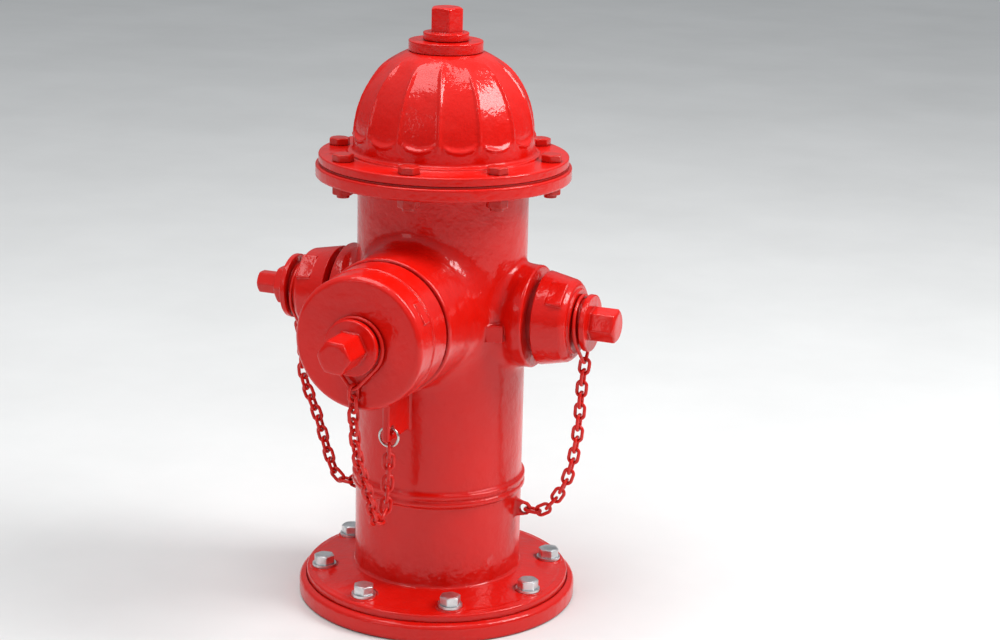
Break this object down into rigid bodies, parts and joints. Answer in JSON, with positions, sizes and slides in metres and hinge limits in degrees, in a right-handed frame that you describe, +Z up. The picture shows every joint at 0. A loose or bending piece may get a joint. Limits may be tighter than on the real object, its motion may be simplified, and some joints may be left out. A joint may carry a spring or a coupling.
{
  "type": "fire hydrant",
  "caption": "Dry-barrel fire hydrant above its ground flange: barrel with a pumper and hose nozzles, chained screw caps, domed bonnet and turning nut that lowers the stem.",
  "frame": {"origin": "centre of the ground flange's underside, on the pavement", "axes": "+Z up along the barrel, -Y along the pumper nozzle, +X and -X along the hose nozzles"},
  "size_m": [0.4971, 0.4996, 0.768],
  "materials": {
    "red_enamel": "glossy red enamel over cast iron, thick, with slight orange peel",
    "red_enamel_fastener": "glossy red enamel brushed over steel fasteners",
    "red_enamel_chain": "glossy red enamel over steel wire",
    "zinc_steel": "bright zinc plating",
    "ring_steel": "bright plated wire",
    "bronze": "turned bronze",
    "steel": "turned steel",
    "rubber": "matt black rubber",
    "polymer": "plain acetal"
  },
  "bodies": {
    "root": {"ground_flange": "red_enamel", "base_gasket": "rubber", "base_bolts": "zinc_steel", "base_washers": "zinc_steel", "upper_barrel": "red_enamel", "bonnet_gasket": "rubber", "bonnet": "red_enamel", "bonnet_bolts": "red_enamel_fastener", "bonnet_nuts": "red_enamel_fastener", "hold_down_nut": "red_enamel", "hold_down_oring": "rubber", "thrust_washer_upper": "polymer", "thrust_washer_lower": "polymer", "seal_plate": "bronze", "stem_orings": "rubber", "pumper_nozzle": "bronze", "pumper_nozzle_oring": "rubber", "hose_nozzle_right": "bronze", "hose_nozzle_left": "bronze", "hose_nozzle_oring_right": "rubber", "hose_nozzle_oring_left": "rubber"},
    "drive": {"operating_nut": "red_enamel", "weather_cap": "red_enamel"},
    "stem": {"upper_stem": "steel", "stem_sleeve": "bronze", "stem_coupling": "steel", "coupling_pin": "steel"},
    "pumper_ring": {"pumper_chain_ring": "red_enamel_chain"},
    "pumper_cap": {"pumper_cap": "red_enamel", "pumper_cap_gasket": "rubber"},
    "pumper_chain_top": {"pumper_chain_upper": "red_enamel_chain"},
    "pumper_chain_foot": {"pumper_chain_lower": "red_enamel_chain", "pumper_split_ring": "ring_steel"},
    "hose_ring_right": {"hose_chain_ring_right": "red_enamel_chain"},
    "hose_cap_right": {"hose_cap_right": "red_enamel", "hose_cap_gasket_right": "rubber"},
    "hose_chain_top_right": {"hose_chain_upper_right": "red_enamel_chain"},
    "hose_chain_foot_right": {"hose_chain_lower_right": "red_enamel_chain"},
    "hose_ring_left": {"hose_chain_ring_left": "red_enamel_chain"},
    "hose_cap_left": {"hose_cap_left": "red_enamel", "hose_cap_gasket_left": "rubber"},
    "hose_chain_top_left": {"hose_chain_upper_left": "red_enamel_chain"},
    "hose_chain_foot_left": {"hose_chain_lower_left": "red_enamel_chain"}
  },
  "joints": [
    {"name": "operating_nut_spin", "type": "hinge", "parent": "root", "child": "drive", "pos_m": [0, 0, 0.74], "axis": [0, 0, 1], "range_deg": [0, 3600]},
    {"name": "stem_travel", "type": "slide", "parent": "root", "child": "stem", "axis": [0, 0, 1], "range_m": [-0.051, 0.0001]},
    {"name": "pumper_cap_travel", "type": "slide", "parent": "root", "child": "pumper_ring", "axis": [0, -1, 0], "range_m": [-0.0001, 0.01915]},
    {"name": "pumper_cap_turn", "type": "hinge", "parent": "pumper_ring", "child": "pumper_cap", "pos_m": [0, 0, 0.4013], "axis": [0, -1, 0], "range_deg": [0, 1080]},
    {"name": "pumper_chain_top_swing", "type": "hinge", "parent": "pumper_ring", "child": "pumper_chain_top", "pos_m": [0, -0.2619, 0.3495], "axis": [-1, 0, 0], "range_deg": [-3.86, 0.2]},
    {"name": "pumper_chain_foot_swing", "type": "hinge", "parent": "root", "child": "pumper_chain_foot", "pos_m": [0, -0.159, 0.2711], "axis": [-1, 0, 0], "range_deg": [-0.2, 4.65]},
    {"name": "hose_right_cap_travel", "type": "slide", "parent": "root", "child": "hose_ring_right", "axis": [1, 0, 0], "range_m": [-0.0001, 0.01704]},
    {"name": "hose_right_cap_turn", "type": "hinge", "parent": "hose_ring_right", "child": "hose_cap_right", "pos_m": [0, 0, 0.3888], "axis": [1, 0, 0], "range_deg": [0, 1800]},
    {"name": "hose_right_chain_top_swing", "type": "hinge", "parent": "hose_ring_right", "child": "hose_chain_top_right", "pos_m": [0.1958, 0, 0.337], "axis": [0, -1, 0], "range_deg": [-8.26, 0.2]},
    {"name": "hose_right_chain_foot_swing", "type": "hinge", "parent": "root", "child": "hose_chain_foot_right", "pos_m": [0.1223, 0, 0.1295], "axis": [0, -1, 0], "range_deg": [-0.2, 3.53]},
    {"name": "hose_left_cap_travel", "type": "slide", "parent": "root", "child": "hose_ring_left", "axis": [-1, 0, 0], "range_m": [-0.0001, 0.01195]},
    {"name": "hose_left_cap_turn", "type": "hinge", "parent": "hose_ring_left", "child": "hose_cap_left", "pos_m": [0, 0, 0.3888], "axis": [-1, 0, 0], "range_deg": [0, 1260]},
    {"name": "hose_left_chain_top_swing", "type": "hinge", "parent": "hose_ring_left", "child": "hose_chain_top_left", "pos_m": [-0.2008, 0, 0.337], "axis": [0, 1, 0], "range_deg": [-6.09, 0.2]},
    {"name": "hose_left_chain_foot_swing", "type": "hinge", "parent": "root", "child": "hose_chain_foot_left", "pos_m": [-0.1223, 0, 0.1295], "axis": [0, 1, 0], "range_deg": [-0.2, 7.7]}
  ],
  "couplings": [
    {"joint": "stem_travel", "follows": "operating_nut_spin", "m_per_rad": -0.00080851},
    {"joint": "pumper_cap_travel", "follows": "pumper_cap_turn", "m_per_rad": 0.0010106},
    {"joint": "pumper_chain_top_swing", "follows": "pumper_cap_turn", "ratio": -0.003387},
    {"joint": "pumper_chain_foot_swing", "follows": "pumper_cap_turn", "ratio": 0.0041178},
    {"joint": "hose_right_cap_travel", "follows": "hose_right_cap_turn", "m_per_rad": 0.00053906},
    {"joint": "hose_right_chain_top_swing", "follows": "hose_right_cap_turn", "ratio": -0.0044798},
    {"joint": "hose_right_chain_foot_swing", "follows": "hose_right_cap_turn", "ratio": 0.0018518},
    {"joint": "hose_left_cap_travel", "follows": "hose_left_cap_turn", "m_per_rad": 0.00053906},
    {"joint": "hose_left_chain_top_swing", "follows": "hose_left_cap_turn", "ratio": -0.0046776},
    {"joint": "hose_left_chain_foot_swing", "follows": "hose_left_cap_turn", "ratio": 0.0059528}
  ]
}
